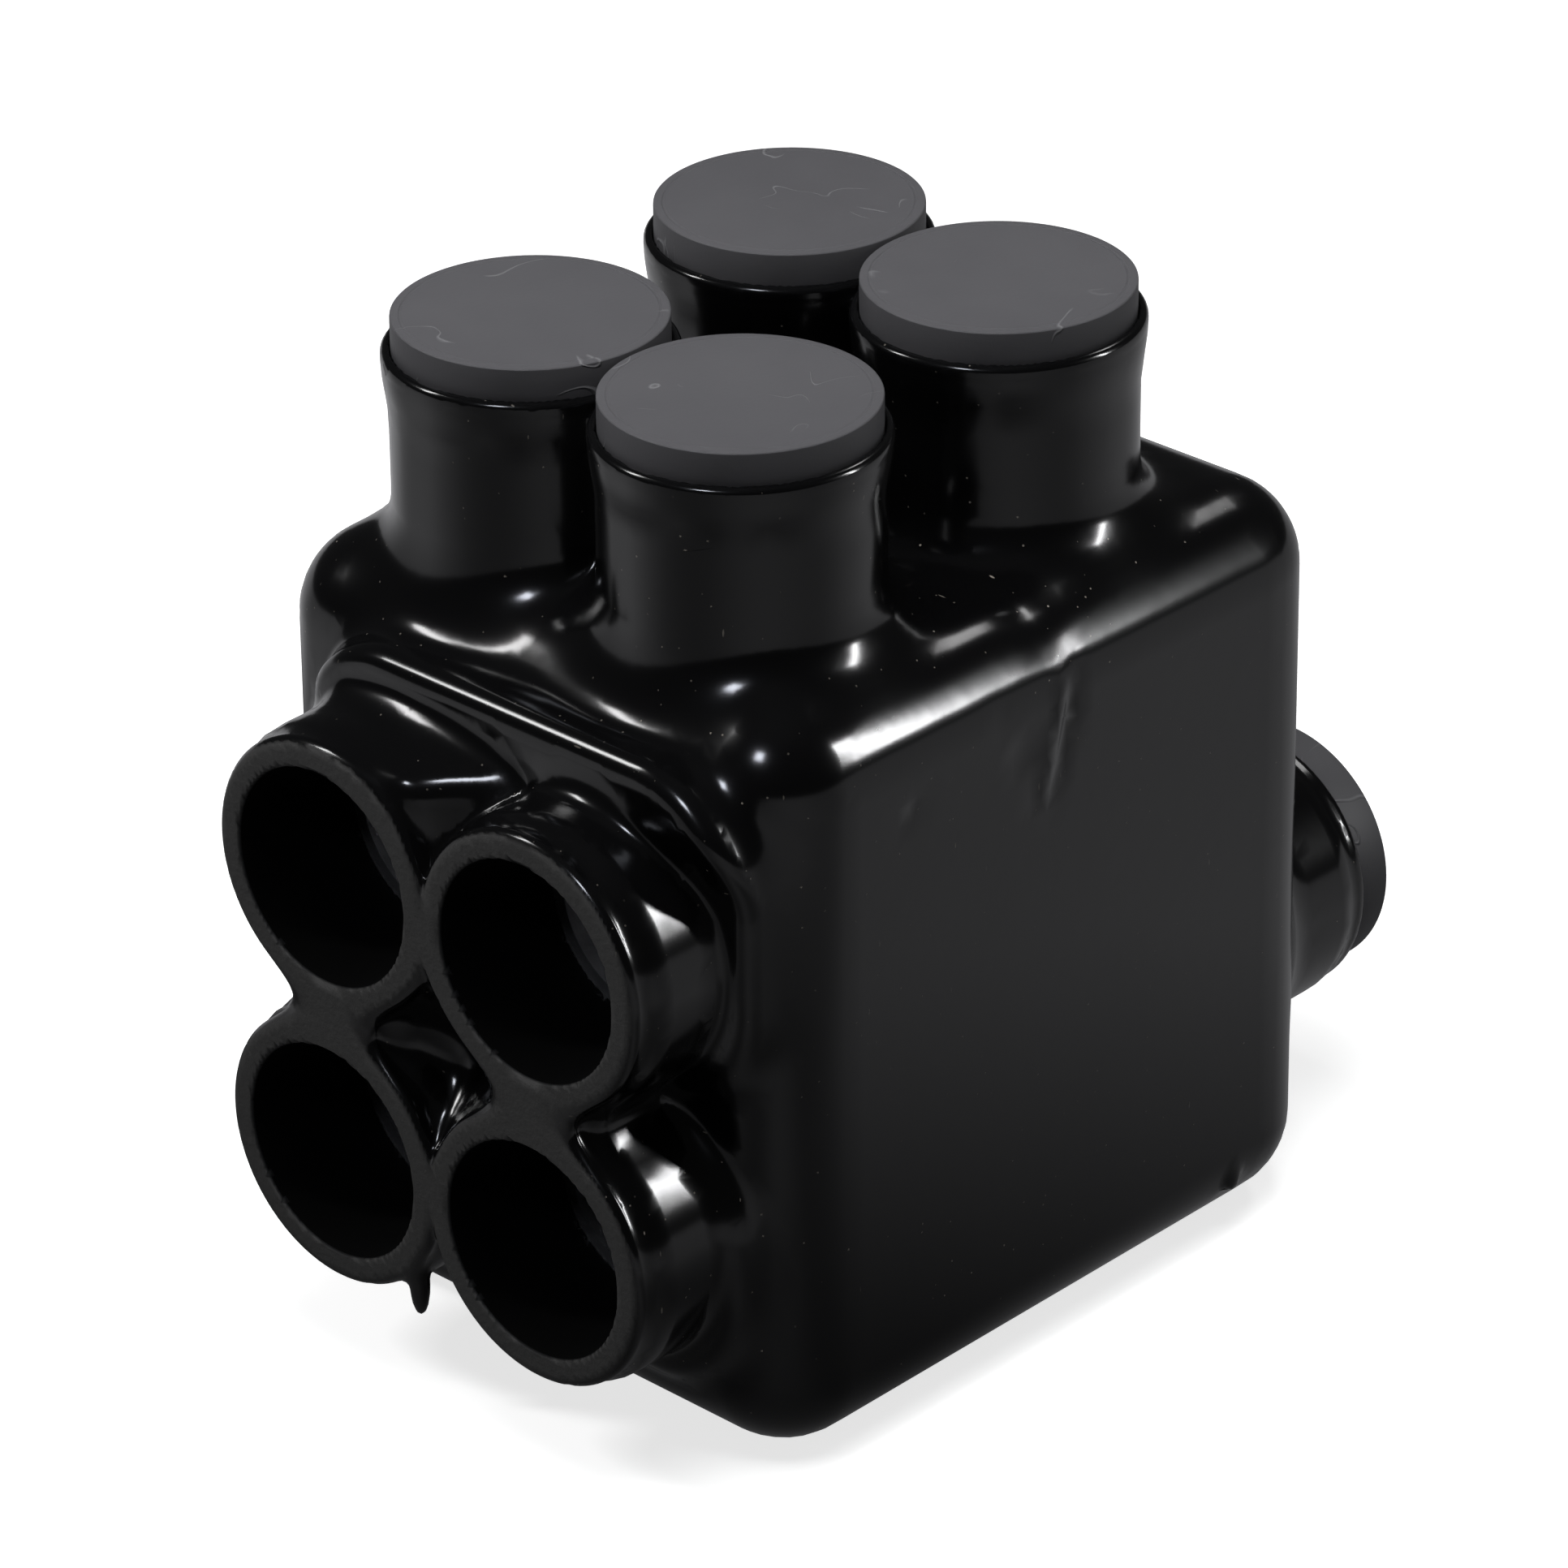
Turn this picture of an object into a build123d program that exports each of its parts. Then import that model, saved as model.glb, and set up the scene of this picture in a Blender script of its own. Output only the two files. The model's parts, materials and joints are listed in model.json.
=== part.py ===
"""Insulated multi-cable connector block: an aluminium block in a dip-moulded insulating jacket.

Four cables enter at the front, two above two. The lower two bores run right through, so each
lower cable can also enter at the rear, where a rubber plug closes the unused port. Four set
screws under the rubber access plugs on top clamp the conductors.

Millimetres. +Z is up, the cable ports face -Y and the rear ports +Y. The origin is the middle
of the flat base.
"""
import os

from build123d import *

# ---------------------------------------------------------------- driving dimensions
# Conductor bores and the aluminium left round them
conductor_bore_diameter = 24.0
bore_side_wall = 10.6           # bore to the block's side
bore_floor = 14.1               # block's underside to the lower bores
bore_row_wall = 12.1            # lower bores to upper bores
bore_roof = 15.8                # upper bores to the block's top
upper_bore_end_allowance = 6.0  # a blind bore runs this far past the front screws
block_depth = 90.0
block_edge_radius = 5.0

# Screw rows
front_screw_setback = 17.7      # block's front face to the front screws' axes
screw_row_pitch = 43.0          # front screws to back screws

# Set screws
screw_diameter = 22.0
screw_length = 28.0
screw_chamfer = 1.6
screw_tip_chamfer = 3.0
hex_across_flats = 9.53
hex_depth = 16.0
screw_parking_gap = 0.6         # tip above its bore when backed off
screw_hole_clearance = 0.06     # radial

# Jacket
skin_thickness = 3.2
corner_softening = 2.8          # extra outer edge radius, where the skin thins over the edges
insulation_allowance = 1.5      # radial: a sleeve is this much wider than its bore
tower_wall = 3.0
tower_swell_length = 5.0        # height over which the plug's head stretches the rim
tower_foot_radius = 2.4
front_port_length = 15.1        # beyond the jacket's front face
rear_port_length = 17.2         # beyond the jacket's rear face
port_wall = 3.6
port_foot_radius = 2.4
rim_wall = 1.0                  # round the seat of a plug's head
rim_round = 0.5
web_width = 11.0                # skin bridging two neighbouring sleeves
web_recess = 1.0                # how far a web stands back from the rims

# Plugs
plug_head_overlap = 2.5         # radial: head over the sleeve's bore
plug_head_thickness = 6.5
plug_head_edge = 0.4
plug_gap = 0.8                  # between the heads of two neighbouring plugs
plug_barrel_length = 9.2
plug_rib_height = 0.9
plug_rib_width = 1.4
plug_rib_count = 3
plug_wall = 3.1                 # round the hollow of the barrel
plug_crown = 4.5                # head left over the hollow
plug_screw_gap = 2.5            # barrel to the parked front screw
plug_rib_clearance = 0.1        # radial, ribs in sleeve
plug_seat_clearance = 0.12      # radial, head in rim
tower_seat_depth = 2.7          # head sunk into a tower's rim
rear_seat_depth = 1.0           # head sunk into a rear port's rim

# ---------------------------------------------------------------- derived sizes and places
bore_radius = conductor_bore_diameter / 2
sleeve_radius = bore_radius + insulation_allowance
screw_radius = screw_diameter / 2
screw_hole_radius = screw_radius + screw_hole_clearance

plug_head_radius = sleeve_radius + plug_head_overlap
plug_rib_radius = sleeve_radius - plug_rib_clearance
plug_barrel_radius = plug_rib_radius - plug_rib_height
plug_hollow_radius = plug_barrel_radius - plug_wall
seat_radius = plug_head_radius + plug_seat_clearance

column_pitch = 2 * plug_head_radius + plug_gap
block_width = column_pitch + 2 * (bore_radius + bore_side_wall)
block_height = bore_floor + bore_row_wall + bore_roof + 2 * conductor_bore_diameter

body_width = block_width + 2 * skin_thickness
body_depth = block_depth + 2 * skin_thickness
body_height = block_height + 2 * skin_thickness
body_edge_radius = block_edge_radius + skin_thickness + corner_softening

column_x = {"left": -column_pitch / 2, "right": column_pitch / 2}
front_screw_y = -block_depth / 2 + front_screw_setback
screw_row_y = {"front": front_screw_y, "back": front_screw_y + screw_row_pitch}
lower_bore_z = skin_thickness + bore_floor + bore_radius
bore_z = {
    "lower": lower_bore_z,
    "upper": lower_bore_z + conductor_bore_diameter + bore_row_wall,
}
bore_of_row = {"front": "upper", "back": "lower"}
upper_bore_end_y = front_screw_y + screw_radius + upper_bore_end_allowance

block_top_z = skin_thickness + block_height
front_screw_top_z = bore_z["upper"] + bore_radius + screw_parking_gap + screw_length
tower_rim_z = front_screw_top_z + plug_screw_gap + plug_barrel_length + tower_seat_depth
tower_radius = sleeve_radius + tower_wall
tower_rim_radius = seat_radius + rim_wall
front_port_radius = sleeve_radius + port_wall
rear_port_radius = seat_radius + rim_wall
front_port_y = -body_depth / 2 - front_port_length
rear_port_y = body_depth / 2 + rear_port_length


# ---------------------------------------------------------------- shared shapes
def rounded_box(width, depth, height, edge_radius):
    """A box standing on z = 0, every edge rounded."""
    box = Box(width, depth, height, align=(Align.CENTER, Align.CENTER, Align.MIN))
    return fillet(box.edges(), edge_radius)


def upright_rod(radius, x, y, z_low, z_high):
    """A cylinder along Z between two heights."""
    rod = Cylinder(radius, z_high - z_low, align=(Align.CENTER, Align.CENTER, Align.MIN))
    return Pos(x, y, z_low) * rod


def level_rod(radius, x, z, y_low, y_high):
    """A cylinder along Y between two depths."""
    rod = Cylinder(radius, y_high - y_low, align=(Align.CENTER, Align.CENTER, Align.MIN))
    return Pos(x, y_low, z) * Rot(-90, 0, 0) * rod


def turned(profile):
    """A solid turned about Z from (radius, height) lines drawn on the XZ plane."""
    return revolve(make_face(Plane.XZ * profile), Axis.Z)


# ---------------------------------------------------------------- aluminium block
def solid_block():
    """The block before any hole is bored."""
    block = rounded_box(block_width, block_depth, block_height, block_edge_radius)
    return Pos(0, 0, skin_thickness) * block


def connector_block():
    """The current-carrying block: two blind bores above, two through bores below."""
    block = solid_block()
    for x in column_x.values():
        block -= level_rod(bore_radius, x, bore_z["upper"], -block_depth, upper_bore_end_y)
        block -= level_rod(bore_radius, x, bore_z["lower"], -block_depth, block_depth)
        for row, y in screw_row_y.items():
            block -= upright_rod(screw_hole_radius, x, y, bore_z[bore_of_row[row]], body_height)
    return block


# ---------------------------------------------------------------- jacket
# The jacket is one dip moulding. Its body and its sleeves are separate nodes that meet face to
# face, so that each is a simple shape round its own opening.
def tower_outside():
    """A screw tower turned about Z, from the inside of the skin up to its rim."""
    foot_radius = tower_radius + tower_foot_radius
    profile = Polyline((0, block_top_z), (foot_radius, block_top_z), (foot_radius, body_height))
    profile += RadiusArc(
        (foot_radius, body_height), (tower_radius, body_height + tower_foot_radius), tower_foot_radius
    )
    profile += Polyline(
        (tower_radius, body_height + tower_foot_radius),
        (tower_radius, tower_rim_z - tower_swell_length),
        (tower_rim_radius, tower_rim_z - rim_round),
        (tower_rim_radius - rim_round, tower_rim_z),
        (0, tower_rim_z),
        (0, block_top_z),
    )
    return turned(profile)


def port_outside(radius, length):
    """A cable port turned about Z, from the inside of the skin at z = 0 out to its rim."""
    foot_radius = radius + port_foot_radius
    rim = skin_thickness + length
    profile = Polyline((0, 0), (foot_radius, 0), (foot_radius, skin_thickness))
    profile += RadiusArc(
        (foot_radius, skin_thickness), (radius, skin_thickness + port_foot_radius), port_foot_radius
    )
    profile += Polyline(
        (radius, skin_thickness + port_foot_radius),
        (radius, rim - rim_round),
        (radius - rim_round, rim),
        (0, rim),
        (0, 0),
    )
    return turned(profile)


def front_port(x, z):
    """A cable port on the front face, its rim towards -Y."""
    outside = port_outside(front_port_radius, front_port_length)
    return Pos(x, -block_depth / 2, z) * Rot(90, 0, 0) * outside


def rear_port(x, z):
    """A cable port on the rear face, its rim towards +Y."""
    outside = port_outside(rear_port_radius, rear_port_length)
    return Pos(x, block_depth / 2, z) * Rot(-90, 0, 0) * outside


def jacket_envelope():
    """The outside of the jacket's body, without its sleeves."""
    return rounded_box(body_width, body_depth, body_height, body_edge_radius)


def side_half(side):
    """The half of space left or right of the middle, where neighbouring sleeves meet."""
    x = body_width / 2 if side == "right" else -body_width / 2
    return Pos(x, 0, body_height / 2) * Box(body_width, 3 * body_depth, 3 * body_height)


def level_half(level):
    """The half of space above or below the plane where upper and lower sleeves meet."""
    middle_z = (bore_z["upper"] + bore_z["lower"]) / 2
    z = middle_z + body_height if level == "upper" else middle_z - body_height
    return Pos(0, 0, z) * Box(3 * body_width, 3 * body_depth, 2 * body_height)


def sleeve_openings():
    """What the sleeves leave open: a bore through the skin, and a seat for each plug's head."""
    inside_y = block_depth / 2 - block_edge_radius
    inside_z = block_top_z - block_edge_radius
    openings = []
    for x in column_x.values():
        for y in screw_row_y.values():
            openings.append(upright_rod(sleeve_radius, x, y, inside_z, tower_rim_z + 1))
            seat_z = tower_rim_z - tower_seat_depth
            openings.append(upright_rod(seat_radius, x, y, seat_z, tower_rim_z + 1))
        for z in bore_z.values():
            openings.append(level_rod(sleeve_radius, x, z, front_port_y - 1, -inside_y))
        z = bore_z["lower"]
        openings.append(level_rod(sleeve_radius, x, z, inside_y, rear_port_y + 1))
        openings.append(level_rod(seat_radius, x, z, rear_port_y - rear_seat_depth, rear_port_y + 1))
    return openings


def opened(solid):
    """A piece of the jacket with every sleeve's opening taken out of it."""
    for opening in sleeve_openings():
        solid -= opening
    return solid


def jacket_body():
    """The dip-moulded skin round the block, open under each sleeve."""
    return opened(jacket_envelope() - solid_block())


def screw_tower(row, side):
    """One sleeve over a set screw, with its half of the web that bridges the pair."""
    x, y = column_x[side], screw_row_y[row]
    web_height = tower_rim_z - web_recess - block_top_z
    web = Box(column_pitch, web_width, web_height, align=(Align.CENTER, Align.CENTER, Align.MIN))
    tower = Pos(x, y, 0) * tower_outside() + Pos(0, y, block_top_z) * web
    return opened((tower & side_half(side)) - jacket_envelope())


def front_sleeve(level, side):
    """One front cable sleeve, with its halves of the webs to the sleeves beside and above it."""
    x, z = column_x[side], bore_z[level]
    web_length = skin_thickness + front_port_length - web_recess
    web_y = -(block_depth + web_length) / 2
    web_across = Pos(0, web_y, z) * Box(column_pitch, web_length, web_width)
    middle_z = (bore_z["upper"] + bore_z["lower"]) / 2
    web_up = Pos(x, web_y, middle_z) * Box(web_width, web_length, bore_z["upper"] - bore_z["lower"])
    sleeve = front_port(x, z) + web_across + web_up
    return opened((sleeve & side_half(side) & level_half(level)) - jacket_envelope())


def rear_sleeve(side):
    """One rear cable sleeve, with its half of the web that bridges the pair."""
    web_length = skin_thickness + rear_port_length - web_recess
    web = Box(column_pitch, web_length, web_width)
    z = bore_z["lower"]
    sleeve = rear_port(column_x[side], z) + Pos(0, (block_depth + web_length) / 2, z) * web
    return opened((sleeve & side_half(side)) - jacket_envelope())


# ---------------------------------------------------------------- set screws
def set_screw():
    """A socket set screw, tip at z = 0, socket at the top."""
    blank = Cylinder(screw_radius, screw_length, align=(Align.CENTER, Align.CENTER, Align.MIN))
    blank = chamfer(blank.edges().sort_by(Axis.Z)[-1], screw_chamfer)
    blank = chamfer(blank.edges().sort_by(Axis.Z)[0], screw_tip_chamfer)
    socket = extrude(
        RegularPolygon(hex_across_flats / 2, 6, major_radius=False), amount=hex_depth
    )
    return blank - Pos(0, 0, screw_length - hex_depth) * socket


def placed_screw(row, side):
    """A set screw backed off until its tip clears the conductor bore."""
    tip_z = bore_z[bore_of_row[row]] + bore_radius + screw_parking_gap
    return Pos(column_x[side], screw_row_y[row], tip_z) * set_screw()


# ---------------------------------------------------------------- plugs
def plug():
    """A push-in rubber plug turned about Z: the head's underside is at z = 0."""
    head = upright_rod(plug_head_radius, 0, 0, 0, plug_head_thickness)
    head = fillet(head.edges().sort_by(Axis.Z)[-1], plug_head_edge)
    body = head + upright_rod(plug_barrel_radius, 0, 0, -plug_barrel_length, 0)
    rib_step = plug_barrel_length / plug_rib_count
    for i in range(plug_rib_count):
        low = -plug_barrel_length + i * rib_step
        body += upright_rod(plug_rib_radius, 0, 0, low, low + plug_rib_width)
    hollow_top = plug_head_thickness - plug_crown
    return body - upright_rod(plug_hollow_radius, 0, 0, -plug_barrel_length, hollow_top)


def access_plug(row, side):
    """A plug seated in a screw tower."""
    return Pos(column_x[side], screw_row_y[row], tower_rim_z - tower_seat_depth) * plug()


def rear_port_plug(side):
    """A plug seated in a rear cable port."""
    seat = Pos(column_x[side], rear_port_y - rear_seat_depth, bore_z["lower"])
    return seat * Rot(-90, 0, 0) * plug()


# ---------------------------------------------------------------- write the sub-parts
def write_subparts():
    """Make every node and write its STEP file."""
    os.makedirs("parts", exist_ok=True)
    nodes = {"connector_block": connector_block(), "jacket_body": jacket_body()}
    for side in column_x:
        nodes[f"rear_sleeve_{side}"] = rear_sleeve(side)
        nodes[f"rear_port_plug_{side}"] = rear_port_plug(side)
        for level in bore_z:
            nodes[f"front_sleeve_{level}_{side}"] = front_sleeve(level, side)
        for row in screw_row_y:
            nodes[f"screw_tower_{row}_{side}"] = screw_tower(row, side)
            nodes[f"set_screw_{row}_{side}"] = placed_screw(row, side)
            nodes[f"access_plug_{row}_{side}"] = access_plug(row, side)
    for name, shape in nodes.items():
        export_step(shape, f"parts/{name}.step")
        print(name, round(shape.volume), "mm3", len(shape.solids()), "solid")


write_subparts()
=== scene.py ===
import json
import math

import bpy
import numpy as np
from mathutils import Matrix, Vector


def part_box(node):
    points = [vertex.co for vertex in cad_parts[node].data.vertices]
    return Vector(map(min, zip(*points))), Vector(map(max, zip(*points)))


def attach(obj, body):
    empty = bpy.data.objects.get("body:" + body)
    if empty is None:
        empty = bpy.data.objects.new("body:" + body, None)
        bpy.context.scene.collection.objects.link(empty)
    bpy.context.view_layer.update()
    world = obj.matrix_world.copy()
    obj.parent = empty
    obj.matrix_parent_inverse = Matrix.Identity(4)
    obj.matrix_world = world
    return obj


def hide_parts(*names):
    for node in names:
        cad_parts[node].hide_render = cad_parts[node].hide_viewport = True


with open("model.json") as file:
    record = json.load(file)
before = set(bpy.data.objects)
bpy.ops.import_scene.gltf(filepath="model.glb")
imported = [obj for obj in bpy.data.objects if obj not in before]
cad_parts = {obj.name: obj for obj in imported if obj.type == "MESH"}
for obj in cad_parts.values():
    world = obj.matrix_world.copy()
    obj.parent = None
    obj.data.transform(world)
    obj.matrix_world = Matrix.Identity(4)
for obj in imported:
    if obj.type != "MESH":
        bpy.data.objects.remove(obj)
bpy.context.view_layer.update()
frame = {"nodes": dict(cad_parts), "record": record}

import openvdb
from mathutils import Matrix, Vector

# ---------------------------------------------------------------- table, lamps and camera
# The finished block stands on a sweep of white paper, its cable ports towards -Y and its four
# screw towers up. Softboxes stand round it, and a wide one hangs overhead.
mm = 0.001                              # the block's own sizes are in millimetres
columns = ("left", "right")
tower_rows = ("front", "back")
tower_y = {}
for row in tower_rows:
    low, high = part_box(f"access_plug_{row}_left")
    tower_y[row] = (low.y + high.y) / 2 / mm
plug_top_z = high.z / mm

camera_azimuth, camera_elevation, camera_roll = 43.4, 27.72, -0.5
camera_distance = 0.840
camera_right, camera_up = 0.0021, -0.0559   # metres across and up from the middle of the plug tops
lens_length, sensor_width = 169.4, 36
lamp_aim_height = 0.06

paper_half = 3.0
paper_white, paper_bounce = 0.88, 0.12  # the paper's grey as it is seen, and as it lights the block
paper_glow = 0.75
# A painted shadow of the block darkens the paper's mirror image near its middle and fades out between these
# distances.
painted_shadow_start, painted_shadow_end = 0.05, 0.13       # how far from the middle the mirror image grows to full strength
near_end, far_start = 0.15, 0.22        # the mirror image changes from its near ring to its far one here
# The near and far rings are greys of a painted reflection: the paper's mirror image in the skin, lighter in
# patches round the block.
near_ring = (
    (0.0, 0.12), (0.10, 0.09), (0.17, 0.08), (0.24, 0.5), (0.27, 0.3), (0.32, 0.1), (0.36, 0.5),
    (0.41, 0.12), (0.5, 0.38), (0.6, 0.6), (0.67, 0.55), (0.75, 0.2), (0.85, 0.10), (1.0, 0.10),
)
far_ring = (
    (0.0, 0.72), (0.06, 0.3), (0.12, 0.95), (0.16, 0.8), (0.22, 0.3), (0.30, 0.25), (0.37, 0.55),
    (0.44, 0.55), (0.52, 0.33), (0.58, 0.6), (0.65, 0.6), (0.7, 0.42), (0.85, 0.3), (1.0, 0.72),
)


def outward(azimuth, elevation):
    """The direction from the block towards a compass point; azimuth 0 is in front of the ports."""
    a, e = math.radians(azimuth), math.radians(elevation)
    return Vector((math.sin(a) * math.cos(e), -math.cos(a) * math.cos(e), math.sin(e)))


def studio_camera():
    """A long lens that looks down on the corner between the ports and the right side."""
    back = outward(camera_azimuth, camera_elevation)
    azimuth, roll = math.radians(camera_azimuth), math.radians(camera_roll)
    level = Vector((math.cos(azimuth), math.sin(azimuth), 0))
    rise = back.cross(level)
    right = math.cos(roll) * level + math.sin(roll) * rise
    up = back.cross(right)
    plug_tops = Vector((0, sum(tower_y.values()) / 2 * mm, plug_top_z * mm))
    camera = bpy.data.objects.new("camera", bpy.data.cameras.new("camera"))
    bpy.context.scene.collection.objects.link(camera)
    camera.data.sensor_width = sensor_width
    camera.data.lens = lens_length
    camera.data.clip_start, camera.data.clip_end = 0.05, 20
    place = plug_tops + back * camera_distance + right * camera_right + up * camera_up
    camera.matrix_world = Matrix.Translation(place) @ Matrix((right, up, back)).transposed().to_4x4()
    return camera


def softbox(name, azimuth, elevation, distance, width, height, power, tint=(1, 1, 1)):
    """A lamp with a rectangular diffuser, turned to face the block."""
    away = outward(azimuth, elevation)
    lamp = bpy.data.lights.new(name, "AREA")
    lamp.shape = "RECTANGLE"
    lamp.size, lamp.size_y = width, height
    lamp.energy = power
    lamp.color = tint
    holder = bpy.data.objects.new(name, lamp)
    bpy.context.scene.collection.objects.link(holder)
    holder.location = Vector((0, 0, lamp_aim_height)) + away * distance
    holder.rotation_mode = "QUATERNION"
    holder.rotation_quaternion = away.to_track_quat("Z", "Y")
    return holder


def add_node(tree, kind, settings=None, **values):
    """A shader node with its settings made and its named sockets filled."""
    node = tree.nodes.new(kind)
    for setting, value in (settings or {}).items():
        setattr(node, setting, value)
    for socket, value in values.items():
        node.inputs[socket.replace("_", " ")].default_value = value
    return node


def wire(tree, source, output, target, socket):
    """Joins an output of one node to a socket of another."""
    tree.links.new(source.outputs[output], target.inputs[socket])


def blend_node(tree, start=None, end=None, **settings):
    """A node that mixes from one grey or colour to another; an open end is wired later."""
    node = add_node(tree, "ShaderNodeMix", {"data_type": "RGBA", **settings})
    for socket, colour in (("A", start), ("B", end)):
        if colour:
            node.inputs[socket].default_value = (*colour, 1)
    return node


def new_material(name, **values):
    """A material, with the named sockets of its shader filled."""
    material = bpy.data.materials.new(name)
    material.use_nodes = True
    shader = material.node_tree.nodes["Principled BSDF"]
    for socket, value in values.items():
        shader.inputs[socket.replace("_", " ")].default_value = value
    return material, material.node_tree, shader


def tent_world():
    """A white backdrop that gives only a dim, even light."""
    world = bpy.data.worlds.new("light_tent")
    world.use_nodes = True
    tree = world.node_tree
    ray = add_node(tree, "ShaderNodeLightPath")
    dim = add_node(tree, "ShaderNodeMapRange", To_Min=0.04)
    wire(tree, ray, "Is Camera Ray", dim, "Value")
    tree.nodes["Background"].inputs["Color"].default_value = (0.97, 0.98, 1, 1)
    wire(tree, dim, "Result", tree.nodes["Background"], "Strength")
    return world


def ring_of_greys(tree, turn, stops):
    """Painted reflection greys that change round the block, from stops of (share of a turn, grey)."""
    ring = add_node(tree, "ShaderNodeValToRGB")
    ring.color_ramp.interpolation = "B_SPLINE"
    while len(ring.color_ramp.elements) < len(stops):
        ring.color_ramp.elements.new(0.5)
    for element, (where, grey) in zip(ring.color_ramp.elements, stops):
        element.position = where
        element.color = (grey, grey, grey * 1.03, 1)
    wire(tree, turn, "Color", ring, "Fac")
    return ring


def white_paper():
    """Plain white paper; its mirror image in the skin is a painted reflection, dim, with lighter patches
    round the block and a painted shadow near it.
    """
    material, tree, shader = new_material("white_paper", Roughness=0.9, Specular_IOR_Level=0)
    ray = add_node(tree, "ShaderNodeLightPath")
    shown = add_node(tree, "ShaderNodeMath", {"operation": "MULTIPLY_ADD"})
    shown.inputs[1].default_value = paper_white - paper_bounce
    shown.inputs[2].default_value = paper_bounce
    mirrored = add_node(tree, "ShaderNodeMath", {"operation": "MULTIPLY_ADD"})
    mirrored.inputs[1].default_value = -paper_bounce
    wire(tree, ray, "Is Camera Ray", shown, 0)
    wire(tree, ray, "Is Glossy Ray", mirrored, 0)
    wire(tree, shown, "Value", mirrored, 2)
    wire(tree, mirrored, "Value", shader, "Base Color")

    # For mirror rays the paper has no grey of its own and glows instead with a painted reflection, greys
    # that change round the block.
    place = add_node(tree, "ShaderNodeTexCoord")
    turn = add_node(tree, "ShaderNodeTexGradient", {"gradient_type": "RADIAL"})
    away = add_node(tree, "ShaderNodeVectorMath", {"operation": "LENGTH"})
    wire(tree, place, "Object", turn, "Vector")
    wire(tree, place, "Object", away, 0)
    outer = add_node(tree, "ShaderNodeMapRange", {"interpolation_type": "SMOOTHSTEP"})
    outer.inputs["From Min"].default_value = near_end
    outer.inputs["From Max"].default_value = far_start
    patches = blend_node(tree)
    wire(tree, away, "Value", outer, "Value")
    wire(tree, outer, "Result", patches, "Factor")
    wire(tree, ring_of_greys(tree, turn, near_ring), "Color", patches, "A")
    wire(tree, ring_of_greys(tree, turn, far_ring), "Color", patches, "B")
    # The painted shadow: the painted reflection is darker near the middle of the block.
    painted_shadow = add_node(tree, "ShaderNodeMapRange", From_Min=painted_shadow_start, From_Max=painted_shadow_end, To_Min=0.3)
    shaded = blend_node(tree, blend_type="MULTIPLY")
    shaded.inputs["Factor"].default_value = 1
    wire(tree, away, "Value", painted_shadow, "Value")
    wire(tree, patches, "Result", shaded, "A")
    wire(tree, painted_shadow, "Result", shaded, "B")
    glow = blend_node(tree, start=(paper_glow, paper_glow, paper_glow))
    wire(tree, ray, "Is Glossy Ray", glow, "Factor")
    wire(tree, shaded, "Result", glow, "B")
    wire(tree, glow, "Result", shader, "Emission Color")
    seen = add_node(tree, "ShaderNodeMath", {"operation": "ADD"})
    wire(tree, ray, "Is Camera Ray", seen, 0)
    wire(tree, ray, "Is Glossy Ray", seen, 1)
    wire(tree, seen, "Value", shader, "Emission Strength")
    return material


def paper_sweep():
    """The flat sheet of paper that the block stands on."""
    mesh = bpy.data.meshes.new("paper_sweep")
    corners = [(-paper_half, -paper_half), (paper_half, -paper_half)]
    corners += [(paper_half, paper_half), (-paper_half, paper_half)]
    mesh.from_pydata([(x, y, 0) for x, y in corners], [], [(0, 1, 2, 3)])
    mesh.materials.append(white_paper())
    sweep = bpy.data.objects.new("paper_sweep", mesh)
    bpy.context.scene.collection.objects.link(sweep)


bpy.context.scene.camera = studio_camera()
right_softbox = softbox("right_softbox", 127, 22.5, 0.55, 0.035, 0.22, 1.9, (0.98, 0.99, 1))
softbox("left_softbox", -49, 40.5, 0.742, 0.08, 0.17, 1.7)
softbox("back_softbox", 178, 50, 1.0, 0.24, 0.12, 1.0)
front_softbox = softbox("front_softbox", 13, 44, 0.8, 0.12, 0.12, 2.2, (0.86, 0.9, 1))
top_softbox = softbox("top_softbox", 43, 80, 0.45, 0.3, 0.3, 1.5)
right_softbox.visible_diffuse = front_softbox.visible_diffuse = False   # these two are highlights only
top_softbox.visible_glossy = False                                      # and this one is light only
bpy.context.scene.world = tent_world()
paper_sweep()
bpy.context.scene.view_settings.view_transform = "Standard"

# ---------------------------------------------------------------- aluminium connector block
# Sawn from bar, bored for four conductors, tapped for the set screws and tin plated. It is
# wholly inside the jacket, and is seen only down an open sleeve.


def machined_metal(name, colour, roughness):
    """Bright metal with fine tool marks and a little staining."""
    material, tree, shader = new_material(name, Base_Color=(*colour, 1), Metallic=1)
    place = add_node(tree, "ShaderNodeTexCoord")
    stain = add_node(tree, "ShaderNodeTexNoise", Scale=90.0, Detail=5.0)
    spread = add_node(tree, "ShaderNodeMapRange", To_Min=roughness * 0.75, To_Max=roughness * 1.35)
    marks = add_node(tree, "ShaderNodeTexNoise", Scale=1500.0, Detail=2.0)
    bump = add_node(tree, "ShaderNodeBump", Strength=0.15, Distance=0.0002)
    wire(tree, place, "Object", stain, "Vector")
    wire(tree, place, "Object", marks, "Vector")
    wire(tree, stain, "Fac", spread, "Value")
    wire(tree, spread, "Result", shader, "Roughness")
    wire(tree, marks, "Fac", bump, "Height")
    wire(tree, bump, "Normal", shader, "Normal")
    return material


block = frame["nodes"]["connector_block"]
block.data.materials.clear()
block.data.materials.append(machined_metal("tinned_aluminium", (0.77, 0.77, 0.78), 0.34))

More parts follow.
